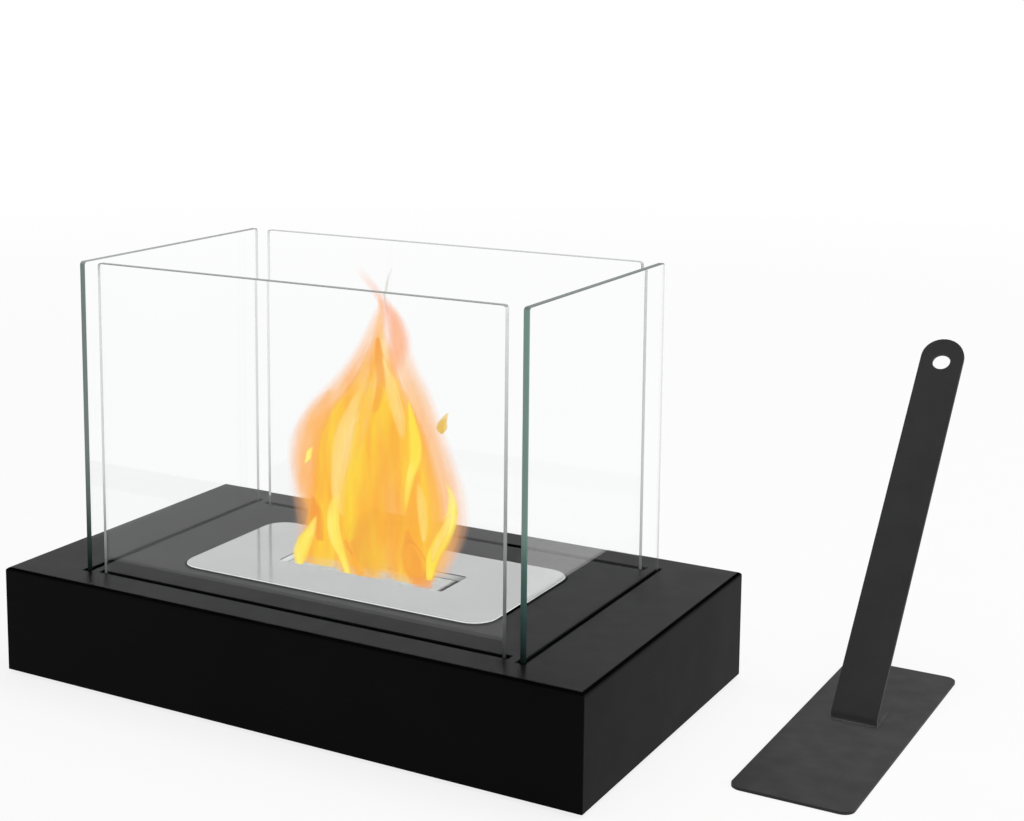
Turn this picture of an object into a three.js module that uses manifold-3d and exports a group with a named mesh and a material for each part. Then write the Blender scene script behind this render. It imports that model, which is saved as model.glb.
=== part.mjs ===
// A tabletop bioethanol fireplace: a low folded steel base, four loose glass panes standing in slots
// round a lift-out burner, and the snuffer that puts the flame out, lying beside the base.
//
// Millimetres, +Z up. +X runs along the long front towards the right, and the front faces -Y.
// The origin is the centre of the base, on the underside of the panel pressed in the bottom plate,
// level with the lower edges of the housing. The feet and screws sit on the plate's rim round it.

import * as THREE from 'three';
import { mergeVertices } from 'three/addons/utils/BufferGeometryUtils.js';
import Module from 'manifold-3d';

const wasm = await Module();
wasm.setup();

// ---- driving dimensions ---------------------------------------------------------------------------

// Base housing: one folded sheet, open underneath.
const BASE_LENGTH = 350;
const BASE_DEPTH = 200;
const BASE_HEIGHT = 58; // housing's lower edges to its top face
const SHEET = 1.5;
const INSIDE_BEND = 1; // inside radius of the folds along the top edges
const GROUND_CORNER = 0.8; // radius of the welded and ground upright corners
const RETURN_FLANGE = 14; // width of the lip turned in along the bottom
const MITRE_GAP = 0.8; // open mitre where two lips meet

// Bottom plate, its screws and the feet.
const PLATE_THICKNESS = 1.5;
const PLATE_CLEARANCE = 0.4;
const PANEL_DROP = 1; // depth of the stiffening panel pressed down in the plate
const PANEL_MARGIN = 45; // base's faces to the panel, clear of the feet and the screws
const PANEL_CORNER = 12;
const SCREW_RADIUS = 1.5;
const SCREW_LENGTH = 7;
const SCREW_HEAD_RADIUS = 3;
const SCREW_HEAD_HEIGHT = 1.5;
const SCREW_CLEARANCE = 0.3;
const SCREW_FROM_END = 55; // along the front and back lips, from the base's ends
const FOOT_RADIUS = 8;
const FOOT_HEIGHT = 3;
const FOOT_CHAMFER = 0.6;
const FOOT_INSET = 28; // foot centre to the base's faces

// Glass panes. Each stands in a slot and on two pads in a channel under it.
const GLASS_THICKNESS = 3.3;
const GLASS_ABOVE = 170; // height of glass above the base
const GLASS_SUNK = 24; // depth of glass inside the base
const GLASS_INSET_X = 42; // base's end to the middle of a side pane
const GLASS_INSET_Y = 22.7; // base's front to the middle of the front pane
const GLASS_CORNER_GAP = 8.85; // open gap from the front pane's end to the side pane's face
const GLASS_CORNER = 1.5;
const GLASS_ARRIS = 0.4; // ground bevel along every edge
const SLOT_SIDE_CLEARANCE = 0.45;
const SLOT_END_CLEARANCE = 2.5;
const CHANNEL_WALL = 1;
const PAD_LENGTH = 16;
const PAD_THICKNESS = 2;
const PAD_CLEARANCE = 0.1;
const PAD_FROM_END = 30; // pad centre to the pane's end

// Burner: a polished top plate with a narrow mouth, the tank welded under it, and the wool inside.
const BURNER_LENGTH = 192;
const BURNER_DEPTH = 96;
const BURNER_THICKNESS = 1;
const BURNER_CORNER = 13;
const BURNER_ARRIS = 0.25;
const BURNER_LIP = 15; // top plate beyond the tank, all round
const MOUTH_LENGTH = 104;
const MOUTH_DEPTH = 28;
const MOUTH_CORNER = 2;
const NECK_DEPTH = 2.2; // rim turned down round the mouth
const NECK_WALL = 1;
const TANK_HEIGHT = 40;
const TANK_WALL = 1;
const TANK_CORNER = 8;
const CUTOUT_CLEARANCE = 1.5;
const WOOL_CLEARANCE = 0.3;

// Snuffer: a plate that covers the mouth, and a flat bar bent into a foot and a sloping handle.
const SNUFFER_LENGTH = 190;
const SNUFFER_WIDTH = 60;
const SNUFFER_THICKNESS = 1.5;
const SNUFFER_CORNER = 6;
const SNUFFER_FROM_BASE = 45; // base's right end to the plate's near edge
const SNUFFER_Y = 60; // plate's centre, behind the base's middle
const HANDLE_WIDTH = 24;
const HANDLE_THICKNESS = 2;
const HANDLE_LENGTH = 228; // straight sloping part
const HANDLE_SLOPE = 48; // degrees above the plate
const HANDLE_BEND = 1.5; // inside radius of the bend
const HANDLE_FOOT = 20; // tab welded to the plate
const HANDLE_OFFSET = 8; // bend, towards the far end from the plate's centre
const HANG_HOLE_RADIUS = 5;
const HANG_HOLE_FROM_END = 15;

// Facets.
const ARC_STEPS = 3; // half the facets of each rounded corner or bend
const ROUND_STEPS = 32; // in a whole turn

// ---- sizes worked out from them -------------------------------------------------------------------

const RIM_UNDERSIDE = PANEL_DROP;
const RIM_TOP = RIM_UNDERSIDE + PLATE_THICKNESS;
const FLOOR_Z = RIM_UNDERSIDE - FOOT_HEIGHT;
const TOP_UNDERSIDE = BASE_HEIGHT - SHEET;
const CAVITY_LENGTH = BASE_LENGTH - 2 * SHEET;
const CAVITY_DEPTH = BASE_DEPTH - 2 * SHEET;

const SIDE_PANE_X = BASE_LENGTH / 2 - GLASS_INSET_X;
const FRONT_PANE_Y = BASE_DEPTH / 2 - GLASS_INSET_Y;
const FRONT_PANE_LENGTH = 2 * (SIDE_PANE_X - GLASS_THICKNESS / 2 - GLASS_CORNER_GAP);
const SIDE_PANE_LENGTH = 2 * FRONT_PANE_Y + GLASS_THICKNESS;
const PANE_HEIGHT = GLASS_ABOVE + GLASS_SUNK;
const PANE_BOTTOM = BASE_HEIGHT - GLASS_SUNK;
const SLOT_WIDTH = GLASS_THICKNESS + 2 * SLOT_SIDE_CLEARANCE;
const CHANNEL_FLOOR = PANE_BOTTOM - PAD_THICKNESS;
const CHANNEL_BOTTOM = CHANNEL_FLOOR - CHANNEL_WALL;

const TANK_LENGTH = BURNER_LENGTH - 2 * BURNER_LIP;
const TANK_DEPTH = BURNER_DEPTH - 2 * BURNER_LIP;
const TANK_BOTTOM = BASE_HEIGHT - TANK_HEIGHT;
const WOOL_BOTTOM = TANK_BOTTOM + TANK_WALL;
const WOOL_TOP = BASE_HEIGHT - NECK_DEPTH - WOOL_CLEARANCE;

const SNUFFER_X = BASE_LENGTH / 2 + SNUFFER_FROM_BASE + SNUFFER_WIDTH / 2;
const SNUFFER_TOP = FLOOR_Z + SNUFFER_THICKNESS;

// The four panes: where each stands, how long it is, and whether it runs along X or along Y.
const PANES = [
  { side: 'front', x: 0, y: -FRONT_PANE_Y, length: FRONT_PANE_LENGTH, turned: false },
  { side: 'back', x: 0, y: FRONT_PANE_Y, length: FRONT_PANE_LENGTH, turned: false },
  { side: 'left', x: -SIDE_PANE_X, y: 0, length: SIDE_PANE_LENGTH, turned: true },
  { side: 'right', x: SIDE_PANE_X, y: 0, length: SIDE_PANE_LENGTH, turned: true },
];

// Screw places: two along the front lip, two along the back lip and one at each end.
const LIP_MIDDLE = SHEET + RETURN_FLANGE / 2;
const SCREW_PLACES = [
  ...[-1, 1].flatMap((sx) => [-1, 1].map((sy) => [
    sx * (BASE_LENGTH / 2 - SCREW_FROM_END),
    sy * (BASE_DEPTH / 2 - LIP_MIDDLE),
  ])),
  ...[-1, 1].map((sx) => [sx * (BASE_LENGTH / 2 - LIP_MIDDLE), 0]),
];

// ---- materials ------------------------------------------------------------------------------------

const finish = (color, roughness, metalness, more = {}) =>
  new THREE.MeshStandardMaterial({ color, roughness, metalness, ...more });

const blackPowderCoat = () => finish(0x2b2b2d, 0.5, 0.2);
const zincSteel = () => finish(0x9a9ca0, 0.4, 0.9);
const polishedSteel = () => finish(0xc6c6c4, 0.16, 1);
const clearGlass = () => finish(0xdff0ea, 0.03, 0, { transparent: true, opacity: 0.2 });
const blackRubber = () => finish(0x1b1b1c, 0.85, 0);
const clearSilicone = () => finish(0xd4d6d2, 0.6, 0);
const ceramicFibre = () => finish(0xe6e1d6, 0.95, 0);
const snufferBlack = () => finish(0x2e2e2f, 0.6, 0.2);

// ---- outlines and solids --------------------------------------------------------------------------

function roundedRectangle(length, width, radius) {
  const x = length / 2 - radius;
  const y = width / 2 - radius;
  const quarter = Math.PI / 2;
  const shape = new THREE.Shape();
  shape.absarc(x, y, radius, 0, quarter);
  shape.absarc(-x, y, radius, quarter, 2 * quarter);
  shape.absarc(-x, -y, radius, 2 * quarter, 3 * quarter);
  shape.absarc(x, -y, radius, 3 * quarter, 4 * quarter);
  shape.closePath();
  return shape;
}

// A closed geometry as a solid that can be joined and cut.
function solid(geometry) {
  const bare = geometry.clone();
  bare.deleteAttribute('normal');
  bare.deleteAttribute('uv');
  const merged = mergeVertices(bare, 1e-4);
  return new wasm.Manifold(new wasm.Mesh({
    numProp: 3,
    vertProperties: new Float32Array(merged.attributes.position.array),
    triVerts: new Uint32Array(merged.index.array),
  }));
}

function named(name, shape, material) {
  const { vertProperties, triVerts } = shape.getMesh();
  const geometry = new THREE.BufferGeometry();
  geometry.setAttribute('position', new THREE.BufferAttribute(vertProperties, 3));
  geometry.setIndex(new THREE.BufferAttribute(triVerts, 1));
  geometry.computeVertexNormals();
  const mesh = new THREE.Mesh(geometry, material);
  mesh.name = name;
  return mesh;
}

// An outline in the XY plane, raised from z = 0 to the height.
function raised(shape, height) {
  return solid(new THREE.ExtrudeGeometry(shape, {
    depth: height,
    bevelEnabled: false,
    curveSegments: ARC_STEPS,
  }));
}

// The same with a small flat bevel along its top and bottom edges. The shape is the bevelled face.
function raisedWithArris(shape, height, arris) {
  const geometry = new THREE.ExtrudeGeometry(shape, {
    depth: height - 2 * arris,
    bevelThickness: arris,
    bevelSize: arris,
    bevelSegments: 1,
    curveSegments: ARC_STEPS,
  });
  return solid(geometry.translate(0, 0, arris));
}

// An outline drawn in the XZ plane, drawn out along Y, centred.
function drawnAlongY(shape, length) {
  const geometry = new THREE.ExtrudeGeometry(shape, {
    depth: length,
    bevelEnabled: false,
    curveSegments: ARC_STEPS,
  });
  return solid(geometry.translate(0, 0, -length / 2).rotateX(Math.PI / 2));
}

// An outline drawn in the YZ plane, drawn out along X, centred.
const drawnAlongX = (shape, length) => drawnAlongY(shape, length).rotate([0, 0, 90]);

const bar = (length, width, height, z) =>
  solid(new THREE.BoxGeometry(length, width, height).translate(0, 0, z + height / 2));

function rod(radius, height) {
  const geometry = new THREE.CylinderGeometry(radius, radius, height, ROUND_STEPS);
  return solid(geometry.rotateX(Math.PI / 2).translate(0, 0, height / 2));
}

// A turned piece from a profile of [radius, z] points that starts and ends on the axis.
function turned(profile) {
  const points = profile.map(([radius, z]) => new THREE.Vector2(radius, z));
  return solid(new THREE.LatheGeometry(points, ROUND_STEPS).rotateX(Math.PI / 2));
}

// ---- base -----------------------------------------------------------------------------------------

// Upright walls under a flat top whose two long corners are bent to a radius.
function foldProfile(width, bottom, top, radius) {
  const x = width / 2;
  const shape = new THREE.Shape();
  shape.moveTo(-x, bottom);
  shape.lineTo(x, bottom);
  shape.absarc(x - radius, top - radius, radius, 0, Math.PI / 2);
  shape.absarc(-x + radius, top - radius, radius, Math.PI / 2, Math.PI);
  shape.closePath();
  return shape;
}

function foldedBlock(length, depth, bottom, top, radius) {
  return drawnAlongY(foldProfile(length, bottom, top, radius), 2 * depth)
    .intersect(drawnAlongX(foldProfile(depth, bottom, top, radius), 2 * length));
}

// The lips turned in along the bottom, mitred where two of them meet.
function returnLips() {
  const outer = bar(BASE_LENGTH - SHEET, BASE_DEPTH - SHEET, SHEET, RIM_TOP);
  const opening = bar(
    CAVITY_LENGTH - 2 * RETURN_FLANGE,
    CAVITY_DEPTH - 2 * RETURN_FLANGE,
    BASE_HEIGHT,
    0,
  );
  let lips = outer.subtract(opening);
  for (const [sx, sy] of [[1, 1], [-1, 1], [-1, -1], [1, -1]]) {
    const mitre = bar(2 * RETURN_FLANGE, MITRE_GAP, BASE_HEIGHT / 2, 0)
      .rotate([0, 0, 45 * sx * sy])
      .translate([
        sx * (CAVITY_LENGTH / 2 - RETURN_FLANGE),
        sy * (CAVITY_DEPTH / 2 - RETURN_FLANGE),
        0,
      ]);
    lips = lips.subtract(mitre);
  }
  return lips;
}

function housing() {
  const uprightCorners = raised(
    roundedRectangle(BASE_LENGTH, BASE_DEPTH, GROUND_CORNER),
    BASE_HEIGHT,
  );
  const outside = foldedBlock(BASE_LENGTH, BASE_DEPTH, 0, BASE_HEIGHT, INSIDE_BEND + SHEET)
    .intersect(uprightCorners);
  const inside = foldedBlock(CAVITY_LENGTH, CAVITY_DEPTH, -SHEET, TOP_UNDERSIDE, INSIDE_BEND);
  let shell = outside.subtract(inside).add(returnLips());

  for (const { x, y, length, turned: alongY } of PANES) {
    const slot = raised(
      roundedRectangle(length + 2 * SLOT_END_CLEARANCE, SLOT_WIDTH, SLOT_WIDTH / 2 - 0.1),
      4 * SHEET,
    );
    shell = shell.subtract(
      slot.rotate([0, 0, alongY ? 90 : 0]).translate([x, y, TOP_UNDERSIDE - SHEET]),
    );
  }

  const cutout = raised(
    roundedRectangle(
      TANK_LENGTH + 2 * CUTOUT_CLEARANCE,
      TANK_DEPTH + 2 * CUTOUT_CLEARANCE,
      TANK_CORNER + CUTOUT_CLEARANCE,
    ),
    4 * SHEET,
  );
  shell = shell.subtract(cutout.translate([0, 0, TOP_UNDERSIDE - SHEET]));

  for (const [x, y] of SCREW_PLACES) {
    const hole = rod(SCREW_RADIUS + SCREW_CLEARANCE, BASE_HEIGHT / 2);
    shell = shell.subtract(hole.translate([x, y, 0]));
  }
  return named('housing', shell, blackPowderCoat());
}

// The pressed panel: its flat face is at the height given, and its sides slope out above that.
function pressing(height) {
  const face = roundedRectangle(
    BASE_LENGTH - 2 * PANEL_MARGIN,
    BASE_DEPTH - 2 * PANEL_MARGIN,
    PANEL_CORNER,
  );
  return raisedWithArris(face, 3 * PANEL_DROP, PANEL_DROP).translate([0, 0, height]);
}

function bottomPlate() {
  const rim = raised(
    roundedRectangle(
      CAVITY_LENGTH - 2 * PLATE_CLEARANCE,
      CAVITY_DEPTH - 2 * PLATE_CLEARANCE,
      GROUND_CORNER,
    ),
    PLATE_THICKNESS,
  ).translate([0, 0, RIM_UNDERSIDE]);
  let plate = rim.add(pressing(0)).subtract(pressing(PLATE_THICKNESS));
  for (const [x, y] of SCREW_PLACES) {
    const hole = rod(SCREW_RADIUS + SCREW_CLEARANCE, 3 * PLATE_THICKNESS);
    plate = plate.subtract(hole.translate([x, y, RIM_UNDERSIDE - PLATE_THICKNESS]));
  }
  return named('bottom_plate', plate, blackPowderCoat());
}

function bottomScrew(name, x, y) {
  const crown = SCREW_HEAD_HEIGHT / 3;
  const shape = turned([
    [0, -SCREW_HEAD_HEIGHT],
    [SCREW_HEAD_RADIUS * 0.75, -SCREW_HEAD_HEIGHT],
    [SCREW_HEAD_RADIUS, -SCREW_HEAD_HEIGHT + crown],
    [SCREW_HEAD_RADIUS, 0],
    [SCREW_RADIUS, 0],
    [SCREW_RADIUS, SCREW_LENGTH - SCREW_RADIUS],
    [0, SCREW_LENGTH],
  ]);
  return named(name, shape.translate([x, y, RIM_UNDERSIDE]), zincSteel());
}

function rubberFoot(name, x, y) {
  const shape = turned([
    [0, FLOOR_Z],
    [FOOT_RADIUS - FOOT_CHAMFER, FLOOR_Z],
    [FOOT_RADIUS, FLOOR_Z + FOOT_CHAMFER],
    [FOOT_RADIUS, RIM_UNDERSIDE],
    [0, RIM_UNDERSIDE],
  ]);
  return named(name, shape.translate([x, y, 0]), blackRubber());
}

function fasteningsAndFeet() {
  const screws = SCREW_PLACES.map(([x, y], i) => bottomScrew(`bottom_screw_${i + 1}`, x, y));
  const feet = ['front', 'back'].flatMap((end) => ['left', 'right'].map((side) => rubberFoot(
    `foot_${end}_${side}`,
    (side === 'left' ? -1 : 1) * (BASE_LENGTH / 2 - FOOT_INSET),
    (end === 'front' ? -1 : 1) * (BASE_DEPTH / 2 - FOOT_INSET),
  )));
  return [...screws, ...feet];
}

// ---- glass and what holds it ----------------------------------------------------------------------

// A U section welded under the top, as long as the slot above it.
function glassChannel({ side, x, y, length, turned: alongY }) {
  const inner = SLOT_WIDTH / 2;
  const outer = inner + CHANNEL_WALL;
  const section = new THREE.Shape([
    new THREE.Vector2(-outer, CHANNEL_BOTTOM),
    new THREE.Vector2(outer, CHANNEL_BOTTOM),
    new THREE.Vector2(outer, TOP_UNDERSIDE),
    new THREE.Vector2(inner, TOP_UNDERSIDE),
    new THREE.Vector2(inner, CHANNEL_FLOOR),
    new THREE.Vector2(-inner, CHANNEL_FLOOR),
    new THREE.Vector2(-inner, TOP_UNDERSIDE),
    new THREE.Vector2(-outer, TOP_UNDERSIDE),
  ]);
  const run = length + 2 * SLOT_END_CLEARANCE;
  const shape = alongY ? drawnAlongY(section, run) : drawnAlongX(section, run);
  return named(`glass_channel_${side}`, shape.translate([x, y, 0]), blackPowderCoat());
}

function glassPads({ side, x, y, length, turned: alongY }) {
  return [-1, 1].map((end, i) => {
    const pad = bar(PAD_LENGTH, SLOT_WIDTH - 2 * PAD_CLEARANCE, PAD_THICKNESS, CHANNEL_FLOOR)
      .translate([end * (length / 2 - PAD_FROM_END), 0, 0])
      .rotate([0, 0, alongY ? 90 : 0])
      .translate([x, y, 0]);
    return named(`glass_pad_${side}_${i + 1}`, pad, clearSilicone());
  });
}

function glassPane({ side, x, y, length, turned: alongY }) {
  const face = roundedRectangle(
    length - 2 * GLASS_ARRIS,
    PANE_HEIGHT - 2 * GLASS_ARRIS,
    GLASS_CORNER,
  );
  const shape = raisedWithArris(face, GLASS_THICKNESS, GLASS_ARRIS)
    .translate([0, 0, -GLASS_THICKNESS / 2])
    .rotate([90, 0, 0])
    .rotate([0, 0, alongY ? 90 : 0])
    .translate([x, y, PANE_BOTTOM + PANE_HEIGHT / 2]);
  return named(`${side}_glass`, shape, clearGlass());
}

// ---- burner ---------------------------------------------------------------------------------------

function burnerTopPlate() {
  const face = roundedRectangle(
    BURNER_LENGTH - 2 * BURNER_ARRIS,
    BURNER_DEPTH - 2 * BURNER_ARRIS,
    BURNER_CORNER - BURNER_ARRIS,
  );
  const plate = raisedWithArris(face, BURNER_THICKNESS, BURNER_ARRIS);
  const neck = raised(
    roundedRectangle(
      MOUTH_LENGTH + 2 * NECK_WALL,
      MOUTH_DEPTH + 2 * NECK_WALL,
      MOUTH_CORNER + NECK_WALL,
    ),
    NECK_DEPTH + BURNER_THICKNESS / 2,
  ).translate([0, 0, -NECK_DEPTH]);
  const mouth = raised(
    roundedRectangle(MOUTH_LENGTH, MOUTH_DEPTH, MOUTH_CORNER),
    2 * NECK_DEPTH + 3 * BURNER_THICKNESS,
  ).translate([0, 0, -2 * NECK_DEPTH]);
  const shape = plate.add(neck).subtract(mouth);
  return named('burner_top_plate', shape.translate([0, 0, BASE_HEIGHT]), polishedSteel());
}

function burnerTank() {
  const outside = raised(roundedRectangle(TANK_LENGTH, TANK_DEPTH, TANK_CORNER), TANK_HEIGHT);
  const inside = raised(
    roundedRectangle(
      TANK_LENGTH - 2 * TANK_WALL,
      TANK_DEPTH - 2 * TANK_WALL,
      TANK_CORNER - TANK_WALL,
    ),
    TANK_HEIGHT,
  ).translate([0, 0, TANK_WALL]);
  const shape = outside.subtract(inside);
  return named('burner_tank', shape.translate([0, 0, TANK_BOTTOM]), polishedSteel());
}

function ceramicWool() {
  const gap = TANK_WALL + WOOL_CLEARANCE;
  const shape = raised(
    roundedRectangle(TANK_LENGTH - 2 * gap, TANK_DEPTH - 2 * gap, TANK_CORNER - gap),
    WOOL_TOP - WOOL_BOTTOM,
  );
  return named('ceramic_wool', shape.translate([0, 0, WOOL_BOTTOM]), ceramicFibre());
}

// ---- snuffer --------------------------------------------------------------------------------------

function snufferPlate() {
  const shape = raised(
    roundedRectangle(SNUFFER_WIDTH, SNUFFER_LENGTH, SNUFFER_CORNER),
    SNUFFER_THICKNESS,
  );
  return named('snuffer_plate', shape.translate([SNUFFER_X, SNUFFER_Y, FLOOR_Z]), snufferBlack());
}

// The flat bar seen from its edge, in the YZ plane: a foot along +Y, a tight bend, then the slope.
// The bend starts at the origin, and the foot lies on z = 0.
function handleProfile() {
  const slope = THREE.MathUtils.degToRad(HANDLE_SLOPE);
  const along = new THREE.Vector2(Math.cos(slope), Math.sin(slope));
  const bendCentre = HANDLE_BEND + HANDLE_THICKNESS;
  const bendStart = 1.5 * Math.PI;
  const bendEnd = Math.PI / 2 + slope;
  const outer = HANDLE_BEND + HANDLE_THICKNESS;
  const endOf = (radius) => new THREE.Vector2(
    radius * Math.cos(bendEnd),
    bendCentre + radius * Math.sin(bendEnd),
  ).addScaledVector(along, HANDLE_LENGTH);
  const outerEnd = endOf(outer);
  const innerEnd = endOf(HANDLE_BEND);

  const shape = new THREE.Shape();
  shape.moveTo(HANDLE_FOOT, 0);
  shape.absarc(0, bendCentre, outer, bendStart, bendEnd, true);
  shape.lineTo(outerEnd.x, outerEnd.y);
  shape.lineTo(innerEnd.x, innerEnd.y);
  shape.absarc(0, bendCentre, HANDLE_BEND, bendEnd, bendStart, false);
  shape.lineTo(HANDLE_FOOT, HANDLE_THICKNESS);
  shape.closePath();
  return { shape, tip: outerEnd };
}

function snufferHandle() {
  const { shape: profile, tip } = handleProfile();
  const radius = HANDLE_WIDTH / 2;
  const through = 4 * HANDLE_THICKNESS;

  // Tools drawn flat, with +Y along the bar and the tip at the origin, then tipped to the slope.
  const onSlope = (tool) => tool.translate([0, 0, -through / 2])
    .rotate([HANDLE_SLOPE, 0, 0])
    .translate([0, tip.x, tip.y]);
  const endWaste = bar(HANDLE_WIDTH + 2, radius + 1, through, 0)
    .translate([0, (1 - radius) / 2, 0])
    .subtract(rod(radius, through).translate([0, -radius, 0]));
  const hangHole = rod(HANG_HOLE_RADIUS, through).translate([0, -HANG_HOLE_FROM_END, 0]);

  const shape = drawnAlongX(profile, HANDLE_WIDTH)
    .subtract(onSlope(endWaste))
    .subtract(onSlope(hangHole))
    .translate([SNUFFER_X, SNUFFER_Y + HANDLE_OFFSET, SNUFFER_TOP]);
  return named('snuffer_handle', shape, snufferBlack());
}

// ---- the whole fireplace --------------------------------------------------------------------------

const fireplace = new THREE.Group();
fireplace.add(
  housing(),
  bottomPlate(),
  ...fasteningsAndFeet(),
  ...PANES.map(glassChannel),
  ...PANES.flatMap(glassPads),
  ...PANES.map(glassPane),
  burnerTopPlate(),
  burnerTank(),
  ceramicWool(),
  snufferPlate(),
  snufferHandle(),
);

export default fireplace;
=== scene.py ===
"""The looks of a tabletop bioethanol fireplace: black powder-coated base, loose glass panes, polished
burner with its flame, and the snuffer beside it. Lengths are in metres, in the frame of the CAD."""

import math

import bmesh
import bpy
from mathutils import Matrix, Vector, noise


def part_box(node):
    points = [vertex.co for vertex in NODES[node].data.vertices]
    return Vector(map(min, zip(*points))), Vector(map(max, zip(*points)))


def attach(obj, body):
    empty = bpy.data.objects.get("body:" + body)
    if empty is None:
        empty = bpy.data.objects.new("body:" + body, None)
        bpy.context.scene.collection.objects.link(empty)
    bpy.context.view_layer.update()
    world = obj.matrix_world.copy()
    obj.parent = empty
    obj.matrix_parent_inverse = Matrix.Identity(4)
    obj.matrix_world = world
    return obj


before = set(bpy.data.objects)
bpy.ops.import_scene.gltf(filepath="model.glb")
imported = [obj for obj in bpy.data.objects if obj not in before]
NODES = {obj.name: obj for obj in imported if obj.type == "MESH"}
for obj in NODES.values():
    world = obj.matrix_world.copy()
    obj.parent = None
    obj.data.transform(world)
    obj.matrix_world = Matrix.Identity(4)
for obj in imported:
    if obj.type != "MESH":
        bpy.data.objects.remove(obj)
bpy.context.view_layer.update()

MM = 0.001
BASE_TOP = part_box("housing")[1].z
FLOOR_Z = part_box("foot_front_left")[0].z
BURNER_LOW, BURNER_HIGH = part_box("burner_top_plate")

# ---- camera, as it stood for the photograph --------------------------------------------------------

IMAGE_WIDTH = 1024
IMAGE_HEIGHT = 821
FOCAL_PIXELS = 1807.9
PRINCIPAL_PIXEL = (430, 250)  # where the lens axis meets the photograph
SENSOR_WIDTH_MM = 36
CAMERA_PLACE = Vector((506.7 * MM, -806.6 * MM, BASE_TOP + 316.6 * MM))
CAMERA_YAW = math.radians(-30.294)
CAMERA_PITCH = math.radians(8.369)
CAMERA_ROLL = math.radians(0.169)


def make_camera():
    data = bpy.data.cameras.new("camera")
    data.sensor_width = SENSOR_WIDTH_MM
    data.lens = FOCAL_PIXELS / IMAGE_WIDTH * SENSOR_WIDTH_MM
    data.shift_x = (IMAGE_WIDTH / 2 - PRINCIPAL_PIXEL[0]) / IMAGE_WIDTH
    data.shift_y = (PRINCIPAL_PIXEL[1] - IMAGE_HEIGHT / 2) / IMAGE_WIDTH
    data.clip_start = 0.02
    data.clip_end = 200
    camera = bpy.data.objects.new("camera", data)
    bpy.context.scene.collection.objects.link(camera)

    level = math.cos(CAMERA_PITCH)
    forward = Vector((
        math.sin(CAMERA_YAW) * level,
        math.cos(CAMERA_YAW) * level,
        -math.sin(CAMERA_PITCH),
    ))
    right = forward.cross(Vector((0, 0, 1))).normalized()
    up = right.cross(forward)
    turn = Matrix.Rotation(CAMERA_ROLL, 3, -forward)
    axes = Matrix((turn @ right, turn @ up, -forward)).transposed()
    camera.matrix_world = Matrix.Translation(CAMERA_PLACE) @ axes.to_4x4()
    bpy.context.scene.camera = camera


# ---- node helpers ----------------------------------------------------------------------------------


class Nodes:
    """Builds the nodes of one material, with short names for those used here."""

    def __init__(self, tree):
        tree.nodes.clear()
        self.tree = tree

    def add(self, kind, inputs=None, **settings):
        node = self.tree.nodes.new("ShaderNode" + kind)
        for name, value in settings.items():
            setattr(node, name, value)
        for name, value in (inputs or {}).items():
            self.put(node.inputs[name], value)
        return node

    def put(self, socket, value):
        if isinstance(value, bpy.types.NodeSocket):
            self.tree.links.new(value, socket)
        else:
            socket.default_value = value

    def math(self, operation, a, b=0.0, clamp=False):
        node = self.add("Math", {0: a, 1: b}, operation=operation, use_clamp=clamp)
        return node.outputs[0]

    def within(self, value, limit):
        """1 where the value lies between -limit and limit."""
        return self.math("LESS_THAN", self.math("ABSOLUTE", value), limit)

    def ramp(self, factor, stops, interpolation="LINEAR"):
        """stops are (place, value) pairs. A value is a grey level or a colour, both linear."""
        node = self.add("ValToRGB", {"Fac": factor})
        node.color_ramp.interpolation = interpolation
        elements = node.color_ramp.elements
        elements.remove(elements[1])
        for k, (place, value) in enumerate(stops):
            element = elements.new(place) if k else elements[0]
            colour = (value,) * 3 if isinstance(value, (int, float)) else value
            element.position = place
            element.color = (*colour, 1)
        return node.outputs["Color"]

    def mix_colour(self, factor, first, second):
        """A colour between the two. The numbers are the Mix node's colour sockets."""
        node = self.add("Mix", {0: factor, 6: first, 7: second}, data_type="RGBA")
        return node.outputs[2]

    def noise(self, scale, detail=2.0, roughness=0.5, stretch=None):
        """Noise in object space. scale is in features per metre, stretch scales the axes."""
        vector = self.add("TexCoord").outputs["Object"]
        if stretch:
            vector = self.add("Mapping", {"Vector": vector, "Scale": stretch}).outputs[0]
        inputs = {"Vector": vector, "Scale": scale, "Detail": detail, "Roughness": roughness}
        return self.add("TexNoise", inputs).outputs["Fac"]

    def bump(self, height, strength, distance):
        inputs = {"Height": height, "Strength": strength, "Distance": distance}
        return self.add("Bump", inputs).outputs["Normal"]

    def object_place(self):
        return self.add("SeparateXYZ", {0: self.add("TexCoord").outputs["Object"]}).outputs

    def object_normal(self):
        return self.add("SeparateXYZ", {0: self.add("TexCoord").outputs["Normal"]}).outputs

    def mirrored(self):
        """1 for a ray that a glossy surface has already thrown back, also when it then passes glass."""
        return self.math("GREATER_THAN", self.add("LightPath").outputs["Glossy Depth"], 0.5)

    def mix(self, factor, first, second):
        return self.add("MixShader", {0: factor, 1: first, 2: second}).outputs[0]

    def finish(self, shader):
        output = self.add("OutputMaterial")
        self.tree.links.new(shader, output.inputs["Surface"])


def new_material(name):
    material = bpy.data.materials.new(name)
    material.use_nodes = True
    return material, Nodes(material.node_tree)


# ---- materials -------------------------------------------------------------------------------------


def painted_shade_black(n, grain):
    """Painted shade: the black of places that catch no light: folds, gaps and the shadow under the burner
    plate's rim.
    """
    return n.add("BsdfPrincipled", {
        "Base Color": n.ramp(grain, [(0.3, (0.0012, 0.0012, 0.0013)), (0.7, (0.0020, 0.0020, 0.0021))]),
        "Roughness": 0.85,
        "Specular IOR Level": 0.0,
    }).outputs[0]


# A narrow line of painted shade darkens the coat round each glass slot. The panes stand in the slots'
# middles.
SLOT_OVER_GLASS = 0.5 * MM
SLOT_END_OVER_GLASS = 2.5 * MM
SLOT_SHADE_LINE = 0.7 * MM
SLOT_SHADE_STRENGTH = 0.85
# Specular levels of the coat: the top's is raised as a painted highlight and the sides' lowered as painted
# shade.
TOP_GLOSS_PAINTED_LIGHT = 0.068
SIDE_GLOSS_PAINTED_SHADE = 0.028


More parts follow.
